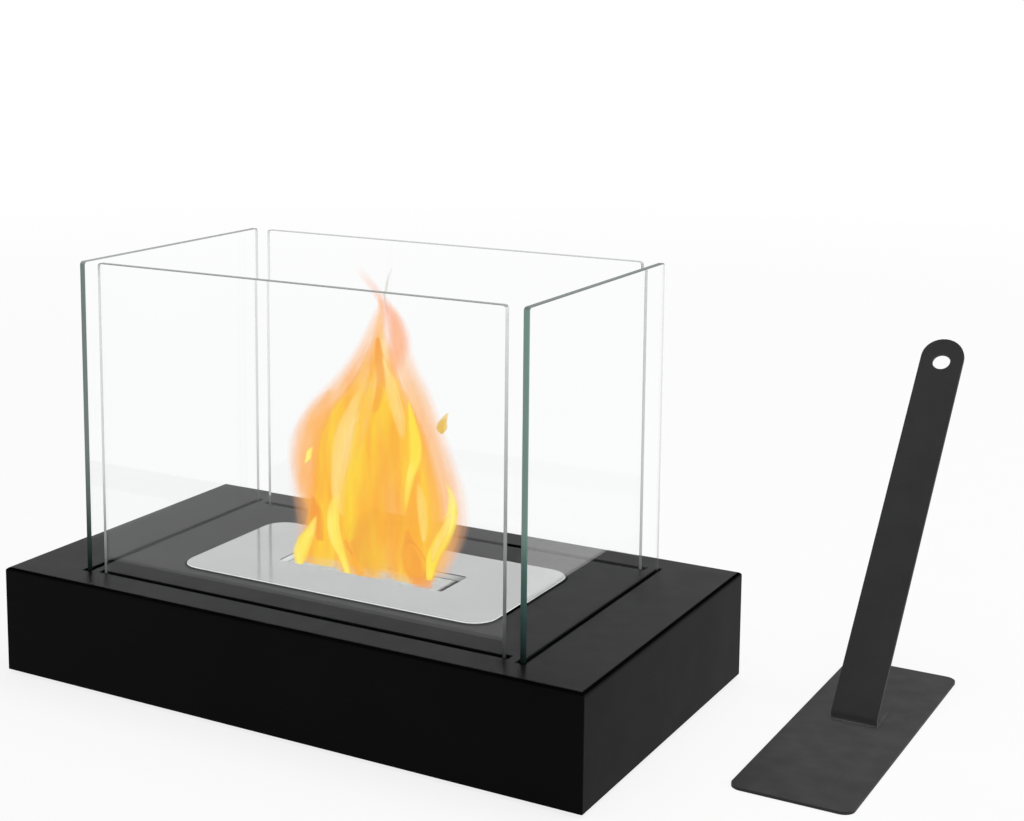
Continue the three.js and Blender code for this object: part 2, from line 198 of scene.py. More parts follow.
def beside_slot(n, place, pane, thin_axis):
    """1 on the top in the narrow line of painted shade round the slots of a pane and of the one opposite."""
    low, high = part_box(pane)
    long_axis = 1 - thin_axis
    middle = abs(low[thin_axis] + high[thin_axis]) / 2
    half_width = (high[thin_axis] - low[thin_axis]) / 2 + SLOT_OVER_GLASS + SLOT_SHADE_LINE
    half_length = high[long_axis] + SLOT_END_OVER_GLASS + SLOT_SHADE_LINE
    off = n.math("SUBTRACT", n.math("ABSOLUTE", place[thin_axis]), middle)
    near = n.within(off, half_width)
    alongside = n.within(place[long_axis], half_length)
    return n.math("MULTIPLY", near, alongside)


def powder_coat():
    """Satin black powder coat: a fine orange peel and slightly uneven gloss. The top is given more gloss than
    the sides as a painted highlight, and painted shade darkens the folds and a line round the slots."""
    material, n = new_material("powder_coat_black")
    cloud = n.noise(14, 3)
    coat = {
        "Base Color": n.ramp(cloud, [(0.3, (0.0021, 0.0019, 0.0024)), (0.7, (0.0031, 0.0029, 0.0034))]),
        "Roughness": n.ramp(n.noise(60, 3), [(0.3, 0.38), (0.7, 0.42)]),
        "Normal": n.bump(n.noise(1400, 2, 0.6), 0.06, 0.0002),
    }
    # the top and side copies differ only in gloss: a painted highlight on the top, painted shade on the sides
    top = n.add("BsdfPrincipled", coat | {"Specular IOR Level": TOP_GLOSS_PAINTED_LIGHT}).outputs[0]
    side = n.add("BsdfPrincipled", coat | {"Specular IOR Level": SIDE_GLOSS_PAINTED_SHADE}).outputs[0]
    place = n.object_place()
    facing_up = n.object_normal()[2]
    face = n.mix(n.math("GREATER_THAN", facing_up, 0.5), side, top)
    # painted shade: a dark line along the folds between the top and the sides
    fold_shade = n.ramp(facing_up, [(0.50, 0.0), (0.62, 1.0), (0.93, 1.0), (0.97, 0.0)])
    at_slots = n.math(
        "MAXIMUM",
        beside_slot(n, place, "front_glass", 1),
        beside_slot(n, place, "right_glass", 0),
    )
    painted_shade = n.math("MAXIMUM", fold_shade, n.math("MULTIPLY", at_slots, SLOT_SHADE_STRENGTH))
    n.finish(n.mix(painted_shade, face, painted_shade_black(n, cloud)))
    return material


def lightless(name):
    """The coat down inside the glass slots, painted black as shade, and the black ring of painted shadow
    round the burner.
    """
    material, n = new_material(name)
    n.finish(painted_shade_black(n, n.noise(120, 3)))
    return material


def snuffer_coat():
    """The snuffer's matt black coat, with a faint mottle. The photograph's panes mirror the room and
    not the tool that lies beside them."""
    material, n = new_material("snuffer_coat_black")
    cloud = n.noise(22, 4)
    grain = n.noise(1300, 2, 0.6)
    shader = n.add("BsdfPrincipled", {
        "Base Color": n.ramp(cloud, [(0.3, (0.020, 0.020, 0.021)), (0.7, (0.027, 0.027, 0.028))]),
        "Roughness": n.ramp(n.noise(80, 3), [(0.3, 0.55), (0.7, 0.65)]),
        "Specular IOR Level": 0.2,
        "Normal": n.bump(grain, 0.15, 0.0003),
    })
    n.finish(n.mix(n.mirrored(), shader.outputs[0], n.add("BsdfTransparent").outputs[0]))
    return material


# Painted shadow: the plate's rim stands on a thin black ring, and its side is painted black up to the height
# set here.
RIM_SHADOW_TOP = BASE_TOP + 0.65 * MM
MOUTH_LIP = BURNER_HIGH.z - 0.5 * MM
MOUTH_WALLS_WITHIN = (60 * MM, 30 * MM)  # in |x| and |y|
# Painted highlight on the steel's edges and the mouth's walls, and painted shade at the mouth's right end and
# lip.
STEEL_PAINTED_HIGHLIGHT = (0.97, 0.97, 0.96, 1)
STEEL_PAINTED_SHADE = (0.02, 0.02, 0.02, 1)


def mouth_wall_painted_light(n, place, normal):
    """Painted shade on the wall at the right end, which faces -X, and a painted dark reflection along the
    lip. A painted highlight elsewhere.
    """
    at_right_end = n.math("LESS_THAN", normal[0], -0.5)
    on_lip = n.math("GREATER_THAN", place[2], MOUTH_LIP)
    return n.mix_colour(n.math("MAXIMUM", at_right_end, on_lip), STEEL_PAINTED_HIGHLIGHT, STEEL_PAINTED_SHADE)


def polished_steel():
    """Polished stainless plate: near mirror, with faint long scratches, a painted highlight on its edges and
    the mouth's walls, and painted shadow on the rim's lower side.
    """
    material, n = new_material("steel_polished")
    lines = n.noise(1, 2, 0.6, stretch=(30, 1800, 1800))
    smear = n.noise(18, 3)
    place = n.object_place()
    normal = n.object_normal()
    level = n.math("ABSOLUTE", normal[2])
    upright = n.math("LESS_THAN", level, 0.3)
    near_mouth = n.math(
        "MULTIPLY",
        n.within(place[0], MOUTH_WALLS_WITHIN[0]),
        n.within(place[1], MOUTH_WALLS_WITHIN[1]),
    )
    mouth_wall = n.math("MULTIPLY", upright, near_mouth)
    on_edge = n.ramp(level, [(0.85, 1.0), (0.97, 0.0)])
    face_colour = n.ramp(smear, [(0.3, (0.440, 0.442, 0.441)), (0.7, (0.470, 0.472, 0.471))])
    painted_edge_light = n.mix_colour(mouth_wall, STEEL_PAINTED_HIGHLIGHT, mouth_wall_painted_light(n, place, normal))
    shader = n.add("BsdfPrincipled", {
        "Base Color": n.mix_colour(on_edge, face_colour, painted_edge_light),
        "Metallic": n.math("SUBTRACT", 1.0, mouth_wall),
        "Roughness": n.ramp(lines, [(0.3, 0.07), (0.75, 0.13)]),
        "Normal": n.bump(lines, 0.02, 0.0002),
    }).outputs[0]
    # painted shadow on the lower side of the plate's rim
    low = n.math("LESS_THAN", place[2], RIM_SHADOW_TOP)
    painted_shadow = n.math("SUBTRACT", n.math("MULTIPLY", upright, low), near_mouth, clamp=True)
    n.finish(n.mix(painted_shadow, shader, painted_shade_black(n, smear)))
    return material


def brushed_steel():
    """The tank's plain drawn steel, hidden in the base until the burner is lifted out."""
    material, n = new_material("steel_drawn")
    lines = n.noise(1, 3, 0.6, stretch=(40, 40, 900))
    shader = n.add("BsdfPrincipled", {
        "Base Color": n.ramp(n.noise(25, 3), [(0.3, (0.42, 0.42, 0.415)), (0.7, (0.52, 0.52, 0.515))]),
        "Metallic": 1.0,
        "Roughness": n.ramp(lines, [(0.3, 0.26), (0.7, 0.38)]),
        "Normal": n.bump(lines, 0.08, 0.0002),
    })
    n.finish(shader.outputs[0])
    return material


def zinc_plate():
    material, n = new_material("zinc_plated")
    shader = n.add("BsdfPrincipled", {
        "Base Color": n.ramp(n.noise(700, 2), [(0.3, (0.36, 0.37, 0.39)), (0.7, (0.48, 0.49, 0.50))]),
        "Metallic": 1.0,
        "Roughness": n.ramp(n.noise(400, 2), [(0.3, 0.30), (0.7, 0.42)]),
    })
    n.finish(shader.outputs[0])
    return material


def rubber():
    material, n = new_material("rubber_black")
    grain = n.noise(2500, 2)
    shader = n.add("BsdfPrincipled", {
        "Base Color": n.ramp(n.noise(300, 2), [(0.3, (0.010, 0.010, 0.011)), (0.7, (0.016, 0.016, 0.017))]),
        "Roughness": n.ramp(grain, [(0.3, 0.75), (0.7, 0.88)]),
        "Normal": n.bump(grain, 0.2, 0.0002),
    })
    n.finish(shader.outputs[0])
    return material


def silicone():
    material, n = new_material("silicone_clear")
    shader = n.add("BsdfPrincipled", {
        "Base Color": n.ramp(n.noise(500, 2), [(0.3, (0.60, 0.62, 0.60)), (0.7, (0.70, 0.72, 0.69))]),
        "Roughness": n.ramp(n.noise(900, 2), [(0.3, 0.45), (0.7, 0.6)]),
        "Subsurface Weight": 0.4,
        "Subsurface Scale": 0.002,
    })
    n.finish(shader.outputs[0])
    return material


# Places along X near the mouth's right end, between which the painted shade on the wool sets in.
END_SHADE_FROM = 44.0 * MM
END_SHADE_FULL = 46.0 * MM


def ceramic_wool():
    """Matted pale fibre with a felted surface, painted black as shade at the right end of the mouth."""
    material, n = new_material("wool_ceramic")
    tufts = n.noise(260, 5, 0.7)
    strands = n.noise(1, 3, 0.7, stretch=(900, 2600, 900))
    unshaded_fibre = n.ramp(tufts, [(0.25, (0.50, 0.50, 0.48)), (0.5, (0.62, 0.62, 0.60)), (0.75, (0.72, 0.72, 0.70))])
    end_shade = n.add("MapRange", {
        "Value": n.object_place()[0],
        "From Min": END_SHADE_FROM,
        "From Max": END_SHADE_FULL,
    }).outputs[0]
    shader = n.add("BsdfPrincipled", {
        "Base Color": n.mix_colour(end_shade, unshaded_fibre, (0.006, 0.006, 0.006, 1)),
        "Roughness": n.ramp(strands, [(0.3, 0.9), (0.7, 1.0)]),
        "Specular IOR Level": 0.1,
        "Sheen Weight": 0.2,
        "Normal": n.bump(n.math("ADD", tufts, strands), 0.6, 0.0006),
    })
    n.finish(shader.outputs[0])
    return material


def clear_pane(n, ior, clear):
    """The pane's broad faces. They refract, and let the light that falls on other things pass."""
    smear = n.noise(9, 3)
    body = n.add("BsdfPrincipled", {
        "Base Color": n.ramp(smear, [(0.3, (0.992, 1.0, 0.997)), (0.7, (0.998, 1.0, 0.999))]),
        "Roughness": 0.0,
        "IOR": ior,
        "Transmission Weight": 1.0,
    }).outputs[0]
    path = n.add("LightPath").outputs
    passes = n.math("MAXIMUM", path["Is Shadow Ray"], path["Is Diffuse Ray"])
    return n.mix(passes, body, clear)


EDGE_WANDER = 0.1  # how far an end's tint wanders up and down, over the pane's height


def ground_edge(n, rise, far_end, facing_up, near_stops, far_stops, top_stops):
    """rise is the height on the pane, from 0 at the base's top to 1 at the pane's."""
    streak = n.noise(1, 3, 0.6, stretch=(700, 700, 25))
    wander = n.math("MULTIPLY", n.math("SUBTRACT", streak, 0.5), EDGE_WANDER)
    place_up = n.math("ADD", rise, wander, clamp=True)
    end_colour = n.mix_colour(far_end, n.ramp(place_up, near_stops), n.ramp(place_up, far_stops))
    return n.add("BsdfPrincipled", {
        "Base Color": n.mix_colour(facing_up, end_colour, n.ramp(streak, top_stops)),
        "Roughness": n.ramp(streak, [(0.3, 0.35), (0.7, 0.5)]),
        "Specular IOR Level": 0.05,
    }).outputs[0]


def glass(name, pane, ior, near_stops, far_stops, top_stops, far_clear=0.0):
    """Clear float glass. The broad faces refract. A ground edge looks through the whole pane, so its tint is
    painted by its place, as painted reflection and shade of what it shows: near_stops colour the upright end
    towards -Y or +X from the base up, far_stops the other end, and top_stops the top edge along its length.
    far_clear is the share of light that passes straight through the far end."""
    low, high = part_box(pane)
    thin_axis = 0 if high.x - low.x < high.y - low.y else 1
    far_side = "LESS_THAN" if thin_axis == 1 else "GREATER_THAN"
    material, n = new_material(name)
    place = n.object_place()
    normal = n.object_normal()
    rise = n.add("MapRange", {
        "Value": place[2],
        "From Min": BASE_TOP,
        "From Max": high.z,
    }).outputs[0]
    far_end = n.math(far_side, place[1 - thin_axis], 0.0)
    facing_up = n.ramp(n.math("ABSOLUTE", normal[2]), [(0.3, 0.0), (0.6, 1.0)])
    upright = n.math("SUBTRACT", 1.0, facing_up)
    seen_through = n.math("MULTIPLY", n.math("MULTIPLY", far_end, upright), far_clear)

    clear = n.add("BsdfTransparent", {"Color": (0.98, 0.99, 0.985, 1)}).outputs[0]
    ground = ground_edge(n, rise, far_end, facing_up, near_stops, far_stops, top_stops)
    on_edge = n.within(normal[thin_axis], 0.85)
    n.finish(n.mix(on_edge, clear_pane(n, ior, clear), n.mix(seen_through, ground, clear)))
    return material


# The ground edges' tints are painted reflection and shade: dark low down by the black base, lighter above,
# and different for each pane after what it shows of its surroundings.
GREEN_ENDS = [
    (0.0, (0.010, 0.020, 0.018)),
    (0.13, (0.035, 0.075, 0.066)),
    (0.26, (0.090, 0.170, 0.145)),
    (0.38, (0.220, 0.325, 0.288)),
    (1.0, (0.240, 0.370, 0.325)),
]
SHADED_GREEN_ENDS = [
    (0.0, (0.010, 0.022, 0.020)),
    (0.11, (0.044, 0.067, 0.062)),
    (0.24, (0.145, 0.188, 0.176)),
    (0.4, (0.230, 0.282, 0.264)),
    (1.0, (0.250, 0.304, 0.285)),
]
PALE_ENDS = [
    (0.0, (0.06, 0.062, 0.065)),
    (0.38, (0.38, 0.385, 0.39)),
    (0.69, (0.62, 0.63, 0.63)),
    (1.0, (0.86, 0.87, 0.87)),
]
GREY_ENDS = [
    (0.0, (0.28, 0.29, 0.29)),
    (0.3, (0.46, 0.47, 0.47)),
    (1.0, (0.54, 0.55, 0.55)),
]
WHITE_ENDS = [
    (0.0, (0.20, 0.21, 0.21)),
    (0.12, (0.42, 0.43, 0.43)),
    (0.32, (0.84, 0.85, 0.85)),
    (1.0, (0.92, 0.93, 0.93)),
]
GREY_TOPS = [(0.3, (0.30, 0.32, 0.31)), (0.7, (0.40, 0.42, 0.41))]
PALE_TOPS = [(0.3, (0.56, 0.58, 0.57)), (0.7, (0.66, 0.68, 0.67))]
GREEN_TOPS = [(0.3, (0.15, 0.175, 0.168)), (0.7, (0.21, 0.24, 0.23))]


def dress_cad_nodes():
    coat = powder_coat()
    by_start = {
        "housing": coat,
        "bottom_plate": coat,
        "glass_channel": lightless("painted_shade_in_slots"),
        "bottom_screw": zinc_plate(),
        "foot": rubber(),
        "glass_pad": silicone(),
        "front_glass": glass("glass_front", "front_glass", 1.42, PALE_ENDS, WHITE_ENDS, GREY_TOPS),
        "back_glass": glass("glass_back", "back_glass", 1.30, GREY_ENDS, WHITE_ENDS, PALE_TOPS, 0.35),
        "left_glass": glass("glass_left", "left_glass", 1.30, SHADED_GREEN_ENDS, WHITE_ENDS, GREY_TOPS, 0.45),
        "right_glass": glass("glass_right", "right_glass", 1.56, GREEN_ENDS, WHITE_ENDS, GREEN_TOPS, 0.6),
        "burner_top_plate": polished_steel(),
        "burner_tank": brushed_steel(),
        "ceramic_wool": ceramic_wool(),
        "snuffer": snuffer_coat(),
    }
    for name, node in NODES.items():
        material = next(m for start, m in by_start.items() if name.startswith(start))
        node.data.materials.clear()
        node.data.materials.append(material)


# ---- pieces of mesh --------------------------------------------------------------------------------


def mesh_object(name, bm, material, smooth=True):
    mesh = bpy.data.meshes.new(name)
    bm.to_mesh(mesh)
    bm.free()
    for face in mesh.polygons:
        face.use_smooth = smooth
    mesh.materials.append(material)
    piece = bpy.data.objects.new(name, mesh)
    bpy.context.scene.collection.objects.link(piece)
    return piece


# The wool bulges a little into the burner's mouth, with a felted top.
MOUTH_HALF_LENGTH = 52 * MM
MOUTH_HALF_DEPTH = 14 * MM
FELT_CLEARANCE = 0.7 * MM
FELT_GRID = 1.0 * MM
FELT_RIM = 0.12 * MM
FELT_MIDDLE = 0.45 * MM
FELT_LUMP = 0.3 * MM
FELT_LUMP_SIZE = 3.5 * MM
FELT_FRACTAL = (0.7, 2.1, 3)  # how fast finer lumps fade, how much finer each is, how many there are


def felt_height(x, y):
    lump = noise.fractal(Vector((x, y, 0)) / FELT_LUMP_SIZE, *FELT_FRACTAL)
    return FELT_MIDDLE + FELT_LUMP * max(-1, min(1, lump))


def cells(points, across, deep):
    """The corners of each cell of a grid of points that is listed row by row."""
    for j in range(deep):
        for i in range(across):
            a = j * (across + 1) + i
            b = a + across + 1
            yield points[a], points[a + 1], points[b + 1], points[b]


def rim(across, deep):
    """Where the points along the rim of such a grid are in its list."""
    last_row = (across + 1) * deep
    return [
        *range(across),
        *range(across, last_row + across, across + 1),
        *range(last_row + across, last_row, -1),
        *range(last_row, 0, -across - 1),
    ]


def felt_in_mouth():
    """A closed patch of matted fibre that lies on the CAD wool, lumpy on top, flat at its rim."""
    half_x = MOUTH_HALF_LENGTH - FELT_CLEARANCE
    half_y = MOUTH_HALF_DEPTH - FELT_CLEARANCE
    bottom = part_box("ceramic_wool")[1].z
    across = round(2 * half_x / FELT_GRID)
    deep = round(2 * half_y / FELT_GRID)
    bm = bmesh.new()
    top, under = [], []
    for j in range(deep + 1):
        for i in range(across + 1):
            x = half_x * (2 * i / across - 1)
            y = half_y * (2 * j / deep - 1)
            on_rim = i in (0, across) or j in (0, deep)
            rise = FELT_RIM if on_rim else felt_height(x, y)
            top.append(bm.verts.new((x, y, bottom + rise)))
            under.append(bm.verts.new((x, y, bottom)))
    for corners in cells(top, across, deep):
        bm.faces.new(corners)
    for corners in cells(under, across, deep):
        bm.faces.new(corners[::-1])
    around = rim(across, deep)
    for a, b in zip(around, around[1:] + around[:1]):
        bm.faces.new((top[a], under[a], under[b], top[b]))
    bmesh.ops.recalc_face_normals(bm, faces=bm.faces)
    piece = mesh_object("wool_felt", bm, NODES["ceramic_wool"].data.materials[0])
    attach(piece, "burner")


# Painted shadow: a thin black ring lies under the burner plate's rim and shows as a black line round it,
# where the plate's shadow falls.
PLATE_CORNER = 13 * MM
SHADOW_RING_UNDER_PLATE = 0.4 * MM
SHADOW_RING_SHOWS = 1.1 * MM
SHADOW_RING_THICKNESS = 0.25 * MM
CORNER_STEPS = 10


def plate_outline(offset):
    """The plate's rounded rectangle, widened by offset, as points counter-clockwise from above."""
    radius = PLATE_CORNER + offset
    points = []
    for quarter, (side_x, side_y) in enumerate(((1, 1), (-1, 1), (-1, -1), (1, -1))):
        centre_x = side_x * (BURNER_HIGH.x - PLATE_CORNER)
        centre_y = side_y * (BURNER_HIGH.y - PLATE_CORNER)
        for step in range(CORNER_STEPS + 1):
            angle = math.pi / 2 * (quarter + step / CORNER_STEPS)
            points.append((centre_x + radius * math.cos(angle), centre_y + radius * math.sin(angle)))
    return points


def burner_shadow_ring():
    """A flat ring with a small bevel round its outside."""
    section = (
        (-SHADOW_RING_UNDER_PLATE, 0),
        (SHADOW_RING_SHOWS, 0),
        (SHADOW_RING_SHOWS, SHADOW_RING_THICKNESS * 0.7),
        (SHADOW_RING_SHOWS - SHADOW_RING_THICKNESS * 0.5, SHADOW_RING_THICKNESS),
        (-SHADOW_RING_UNDER_PLATE, SHADOW_RING_THICKNESS),
    )
    bm = bmesh.new()
    loops = [
        [bm.verts.new((x, y, BASE_TOP + height)) for x, y in plate_outline(offset)]
        for offset, height in section
    ]
    for loop, above in zip(loops, loops[1:] + loops[:1]):
        for k in range(len(loop)):
            after = (k + 1) % len(loop)
            bm.faces.new((loop[k], loop[after], above[after], above[k]))
    bmesh.ops.recalc_face_normals(bm, faces=bm.faces)
    painted_shadow = mesh_object("burner_shadow_ring", bm, lightless("painted_shadow_ring"), smooth=False)
    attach(painted_shadow, "burner")


# ---- flame -----------------------------------------------------------------------------------------

# Each tongue is a lens-shaped tube up a curved line. Points are (x, height above the burner, half
# width) in millimetres; y is how far the tongue stands behind the middle of the mouth.
FLAME_FOOT = BURNER_LOW.z + 2.0 * MM
TONGUE_RINGS = 36
TONGUE_SIDES = 20
TONGUE_DEPTH = 0.37  # over its width
THINNEST_TONGUE = 0.15 * MM  # half width
TONGUES = [
    # name, kind, y, line
    ("haze_left", "haze", 5,
     [(-38, -2, 17), (-38, 20, 16), (-40, 43, 18), (-38, 65, 19), (-29, 87, 17), (-16, 104, 13),
      (-6, 121, 9), (0, 138, 5), (3, 150, 2)]),
    ("haze_lobe", "haze", 4,
     [(-36, 20, 5), (-41, 37, 11), (-43, 57, 15), (-41, 74, 13), (-34, 89, 8), (-27, 99, 2)]),
    ("haze_right", "haze", 6,
     [(36, 2, 9), (43, 27, 14), (41, 49, 15), (35, 65, 15), (28, 84, 14), (21, 102, 13), (15, 118, 10),
      (12, 134, 6), (11, 148, 2)]),
    ("body_left", "body", 3,
     [(-34, -2, 16), (-31, 17, 15), (-28, 35, 14), (-27, 52, 15), (-24, 69, 15), (-18, 86, 13),
      (-9, 100, 9), (-2, 115, 6), (2, 134, 1)]),
    ("body_middle", "body", 0,
     [(-5, -3, 19), (-2, 17, 22), (-1, 36, 22), (2, 56, 22), (5, 76, 20), (7, 93, 15), (8, 107, 10),
      (8, 121, 6), (6, 140, 1)]),
    ("body_right", "body", 2,
     [(24, -2, 15), (26, 15, 17), (28, 32, 17), (27, 48, 16), (24, 65, 14), (21, 81, 11), (17, 94, 8),
      (13, 107, 4), (10, 120, 1)]),
    ("thin_low", "thin", -7, [(6, 0, 3), (4, 8, 13), (2, 20, 17), (4, 31, 12), (8, 40, 2)]),
    ("glow_middle", "glow", -6,
     [(-8, 16, 4), (-8, 28, 9), (-7, 40, 11), (-5, 54, 11), (-2, 68, 7), (0, 78, 1)]),
    ("pale_upper", "pale", -4, [(10, 120, 1), (14, 109, 3.5), (17, 98, 4.5), (20, 87, 4), (22, 76, 1)]),
    ("streak_middle", "streak", -5,
     [(7, 131, 1), (8, 121, 3), (9, 110, 3.5), (8, 99, 3), (4, 86, 2), (1, 75, 0.5)]),
    ("streak_patch", "streak", -3, [(8, 98, 1), (13, 86, 4.5), (15, 75, 5.5), (17, 66, 3), (17, 58, 0.5)]),
    ("streak_left", "streak", -4, [(-31, 13, 2.5), (-33, 23, 4.5), (-34, 31, 4), (-36, 38, 1)]),
    ("streak_low", "streak", -6, [(-3, -2, 2.5), (-6, 7, 4), (-10, 15, 4), (-13, 23, 1)]),
    ("streak_right", "streak", -6, [(36, -2, 6), (33, 6, 9.5), (30, 14, 8.5), (27, 23, 3.5), (26, 30, 1)]),
    ("band_inner", "pale", -7,
     [(-14, 30, 1), (-16, 41, 5.5), (-15, 56, 7.5), (-13, 70, 8.5), (-10, 83, 7), (-7, 93, 4),
      (-2, 104, 0.5)]),
    ("lick_inner", "lick", -8,
     [(-10, -2, 2), (-14, 8, 3), (-18, 16, 4.5), (-20, 26, 4.5), (-19, 36, 4), (-15, 47, 0.5)]),
    ("lick_left", "lick", -7,
     [(-43, -2, 2.5), (-42, 5, 5.5), (-39, 13, 5.5), (-35, 20, 3.5), (-31, 29, 0.5)]),
    ("lick_middle", "lick", -6,
     [(27, 99, 0.5), (29, 89, 2.5), (31, 78, 4), (31, 68, 4), (28, 58, 3), (26, 47, 2), (25, 37, 0.5)]),
    ("pale_middle", "pale", -7, [(37, 24, 1), (37, 32, 3), (36, 41, 3.5), (35, 49, 3), (33, 57, 0.5)]),
    ("lick_right", "lick", -8,
     [(41, 4, 2), (43, 16, 4.5), (48, 26, 5.5), (53, 36, 4.5), (55, 45, 3.5), (54, 53, 2), (50, 60, 0.5)]),
    ("pale_right", "pale", -10, [(44, 15, 1), (46, 22, 3), (50, 30, 3.5), (53, 38, 2), (55, 45, 0.5)]),
    ("glint_left", "lick", -5, [(-40, 56, 0.5), (-38, 59, 2), (-37, 63, 2), (-35, 66, 0.5)]),
    ("spark", "spark", -6, [(47, 84, 1), (47, 87, 3.5), (48, 91, 2.5), (51, 96, 0.5)]),
    ("wisp_left", "haze", 2, [(-3, 104, 3), (1, 118, 5), (4, 132, 5), (5, 144, 3), (3, 154, 1)]),
    ("curl_left", "wisp", -2,
     [(12, 104, 4), (16, 118, 8), (18, 130, 9), (15, 141, 7.5), (9, 150, 5), (2, 157, 4.5), (-4, 163, 4.5),
      (-8, 169, 2)]),
    ("curl_right", "smoke", -1, [(11, 144, 0.4), (9, 152, 1.0), (10, 161, 1.0), (13, 169, 0.3)]),
]


def smooth_line(points, t):
    """A point on the Catmull-Rom curve through the points, for t from 0 to 1."""
    place = t * (len(points) - 1)
    i = min(int(place), len(points) - 2)
    f = place - i
    p = [points[max(0, min(len(points) - 1, i + k))] for k in (-1, 0, 1, 2)]
    return [
        0.5 * (2 * b + (c - a) * f + (2 * a - 5 * b + 4 * c - d) * f * f + (3 * b - a - 3 * c + d) * f ** 3)
        for a, b, c, d in zip(*p)
    ]


# Each kind of tongue: two colours that streak its middle, colour of its rim, density of its middle.
FLAME_KINDS = {
    "haze": ((1.0, 0.40, 0.03), (1.0, 0.48, 0.07), (1.0, 0.48, 0.24), 0.69),
    "wisp": ((0.98, 0.30, 0.10), (1.0, 0.42, 0.18), (1.0, 0.55, 0.40), 0.66),
    "body": ((0.98, 0.42, 0.001), (1.0, 0.63, 0.002), (1.0, 0.38, 0.012), 1.0),
    "glow": ((1.0, 0.62, 0.003), (1.0, 0.74, 0.012), (1.0, 0.54, 0.003), 0.88),
    "thin": ((0.74, 0.34, 0.010), (0.82, 0.40, 0.012), (0.96, 0.46, 0.004), 0.38),
    "streak": ((0.90, 0.24, 0.002), (0.94, 0.34, 0.004), (1.0, 0.38, 0.006), 0.62),
    "pale": ((1.0, 0.66, 0.10), (1.0, 0.74, 0.28), (1.0, 0.60, 0.02), 0.80),
    "lick": ((1.0, 0.76, 0.03), (1.0, 0.90, 0.18), (1.0, 0.62, 0.006), 0.94),
    "spark": ((0.72, 0.42, 0.03), (0.90, 0.60, 0.07), (0.85, 0.52, 0.08), 0.95),
    "smoke": ((0.50, 0.45, 0.38), (0.60, 0.54, 0.46), (0.80, 0.72, 0.62), 0.26),
}
# How dense a tongue is from its middle to its rim, and from its foot to its tip.
FIRM = [(0.0, 1.0), (0.5, 0.92), (0.8, 0.45), (1.0, 0.0)]
SOFT = [(0.0, 1.0), (0.3, 0.80), (0.6, 0.40), (0.85, 0.10), (1.0, 0.0)]
SOFT_KINDS = ("haze", "wisp", "glow", "thin")
FADES_LATE = [(0.0, 0.7), (0.06, 1.0), (0.6, 0.95), (0.85, 0.55), (1.0, 0.0)]
FADES_EARLY = [(0.0, 0.2), (0.2, 1.0), (0.45, 0.9), (0.65, 0.4), (1.0, 0.0)]


def flame_material(kind):
    """A glowing see-through gas: clear at the tongue's rim and tip, brightest along its middle.
    What mirrors the flame shows no more than its surroundings, as in the photograph."""
    deep, bright, rim, densest = FLAME_KINDS[kind]
    material, n = new_material("flame_" + kind)
    uv = n.add("SeparateXYZ", {0: n.add("UVMap", uv_map="flame").outputs[0]}).outputs
    wisps = n.noise(1, 4, 0.55, stretch=(110, 110, 26))
    flow = n.ramp(n.noise(1, 3, 0.5, stretch=(85, 85, 15)), [(0.38, 0.0), (0.62, 1.0)])
    off_middle = n.math("ABSOLUTE", n.math("SUBTRACT", n.math("MULTIPLY", uv[0], 2.0), 1.0))
    across = n.ramp(off_middle, SOFT if kind in SOFT_KINDS else FIRM, "EASE")
    along = n.ramp(uv[1], FADES_EARLY if kind == "wisp" else FADES_LATE, "EASE")
    torn = n.ramp(wisps, [(0.25, 0.85 if kind == "body" else 0.65), (0.6, 1.0)])
    shape = n.math("MULTIPLY", n.math("MULTIPLY", across, along), torn)
    dense = n.math("MULTIPLY", shape, densest, clamp=True)
    alpha = n.math("SUBTRACT", dense, n.mirrored(), clamp=True)
    warmth = n.ramp(n.math("MULTIPLY", across, torn), [(0.1, 0.0), (0.8, 1.0)])
    streaked = n.mix_colour(flow, (*deep, 1), (*bright, 1))
    glow = n.mix_colour(warmth, (*rim, 1), streaked)
    shader = n.add("BsdfPrincipled", {
        "Base Color": (0, 0, 0, 1),
        "Roughness": 1.0,
        "Specular IOR Level": 0.0,
        "Emission Color": glow,
        "Emission Strength": 1.0,
        "Alpha": alpha,
    })
    n.finish(shader.outputs[0])
    material.cycles.emission_sampling = "NONE"
    return material


def tongue_rings(bm, y, line):
    """Rings of points from the tongue's foot to its tip."""
    rings = []
    for r in range(TONGUE_RINGS + 1):
        x, height, half = (v * MM for v in smooth_line(line, r / TONGUE_RINGS))
        half = max(half, THINNEST_TONGUE)
        ring = []
        for s in range(TONGUE_SIDES):
            angle = 2 * math.pi * s / TONGUE_SIDES
            ring.append(bm.verts.new((
                x + half * math.cos(angle),
                y * MM + half * TONGUE_DEPTH * math.sin(angle),
                FLAME_FOOT + height,
            )))
        rings.append(ring)
    return rings


def flame_tongue(name, material, y, line):
    """A tongue is seen and gives no light to the burner and the base, as in the photograph. Its map
    runs across it and from foot to tip."""
    bm = bmesh.new()
    uv_layer = bm.loops.layers.uv.new("flame")
    rings = tongue_rings(bm, y, line)
    for r in range(TONGUE_RINGS):
        for s in range(TONGUE_SIDES):
            after = (s + 1) % TONGUE_SIDES
            face = bm.faces.new((rings[r][s], rings[r][after], rings[r + 1][after], rings[r + 1][s]))
            places = ((s, r), (s + 1, r), (s + 1, r + 1), (s, r + 1))
            for loop, (side, ring) in zip(face.loops, places):
                across = 0.5 - 0.5 * math.cos(2 * math.pi * side / TONGUE_SIDES)
                loop[uv_layer].uv = (across, ring / TONGUE_RINGS)
    for end in (rings[0][::-1], rings[-1]):
        bm.faces.new(end)
    tongue = mesh_object("flame_" + name, bm, material)
    tongue.visible_shadow = False
    tongue.visible_diffuse = False
    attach(tongue, "burner")


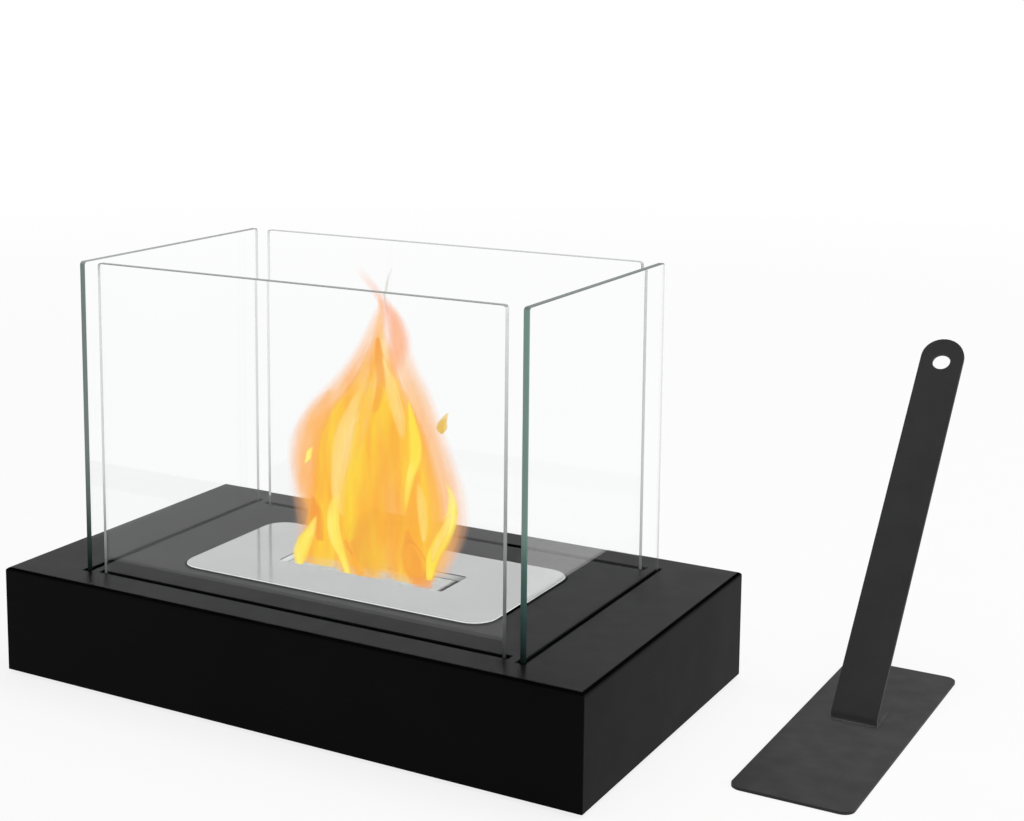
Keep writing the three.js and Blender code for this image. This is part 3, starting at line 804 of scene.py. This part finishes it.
def make_flame():
    materials = {}
    for name, kind, y, line in TONGUES:
        if kind not in materials:
            materials[kind] = flame_material(kind)
        flame_tongue(name, materials[kind], y, line)


# ---- floor, light ----------------------------------------------------------------------------------

FLOOR_HALF = 30
FLOOR_GAP = 0.05 * MM  # between the feet and the floor, so that their faces don't coincide
FLOOR_SEEN_WHITE = 0.82  # share of the floor's look that stays white in the object's shadow
# Distances from the object's middle: up to the first the share is the above, from the second it is 1.
SHADOWS_WITHIN = 0.5
ALL_WHITE_FROM = 2.2


def seen_directly(n):
    """1 for rays that show the background: straight, mirrored or through the glass."""
    path = n.add("LightPath").outputs
    direct = n.math("MAXIMUM", path["Is Camera Ray"], path["Is Glossy Ray"])
    return n.math("MAXIMUM", direct, path["Is Transmission Ray"])


def make_floor():
    material, n = new_material("floor_pale")
    grain = n.noise(30, 3)
    matt = n.add("BsdfDiffuse", {
        "Color": n.ramp(grain, [(0.3, 0.86), (0.7, 0.88)]),
    }).outputs[0]
    white = n.add("Emission", {"Color": (1, 1, 1, 1), "Strength": 1.0}).outputs[0]
    place = n.add("TexCoord").outputs["Object"]
    near = n.add("MapRange", {
        "Value": n.add("VectorMath", {0: place}, operation="LENGTH").outputs["Value"],
        "From Min": SHADOWS_WITHIN,
        "From Max": ALL_WHITE_FROM,
        "To Min": FLOOR_SEEN_WHITE,
        "To Max": 1.0,
    }).outputs[0]
    share = n.math("MULTIPLY", seen_directly(n), near)
    n.finish(n.mix(share, matt, white))

    bm = bmesh.new()
    bmesh.ops.create_grid(bm, x_segments=8, y_segments=8, size=FLOOR_HALF)
    floor = mesh_object("floor", bm, material, smooth=False)
    floor.location.z = FLOOR_Z - FLOOR_GAP


WORLD_WHITE = 1.0  # as it is seen
WORLD_LIGHT = 0.6  # as it lights the object


def make_world():
    world = bpy.data.worlds.new("studio")
    world.use_nodes = True
    n = Nodes(world.node_tree)
    extra = n.math("MULTIPLY", seen_directly(n), WORLD_WHITE - WORLD_LIGHT)
    level = n.math("ADD", extra, WORLD_LIGHT)
    background = n.add("Background", {"Color": (1, 1, 1, 1), "Strength": level})
    output = n.add("OutputWorld")
    n.tree.links.new(background.outputs[0], output.inputs["Surface"])
    bpy.context.scene.world = world


def soft_light(name, place, size, watts, aim):
    """A lamp that lights the object and isn't mirrored in its glass and steel."""
    data = bpy.data.lights.new(name, "AREA")
    data.shape = "RECTANGLE"
    data.size, data.size_y = size
    data.energy = watts
    light = bpy.data.objects.new(name, data)
    light.location = place
    direction = Vector(aim) - Vector(place)
    light.rotation_euler = direction.to_track_quat("-Z", "Y").to_euler()
    light.visible_glossy = False
    light.visible_transmission = False
    bpy.context.scene.collection.objects.link(light)


def make_lights():
    aim = (0, 0, BASE_TOP)
    soft_light("light_above", (0.3, 0.4, 1.9), (1.6, 1.2), 14, aim)
    soft_light("light_right", (1.7, 0.1, 0.9), (1.0, 1.0), 7, aim)


# ---- the whole scene -------------------------------------------------------------------------------

make_camera()
dress_cad_nodes()
felt_in_mouth()
burner_shadow_ring()
make_flame()
make_floor()
make_world()
make_lights()

scene = bpy.context.scene
scene.view_settings.view_transform = "Standard"
scene.cycles.transparent_max_bounces = 40  # the flame's tongues and the panes lie behind each other
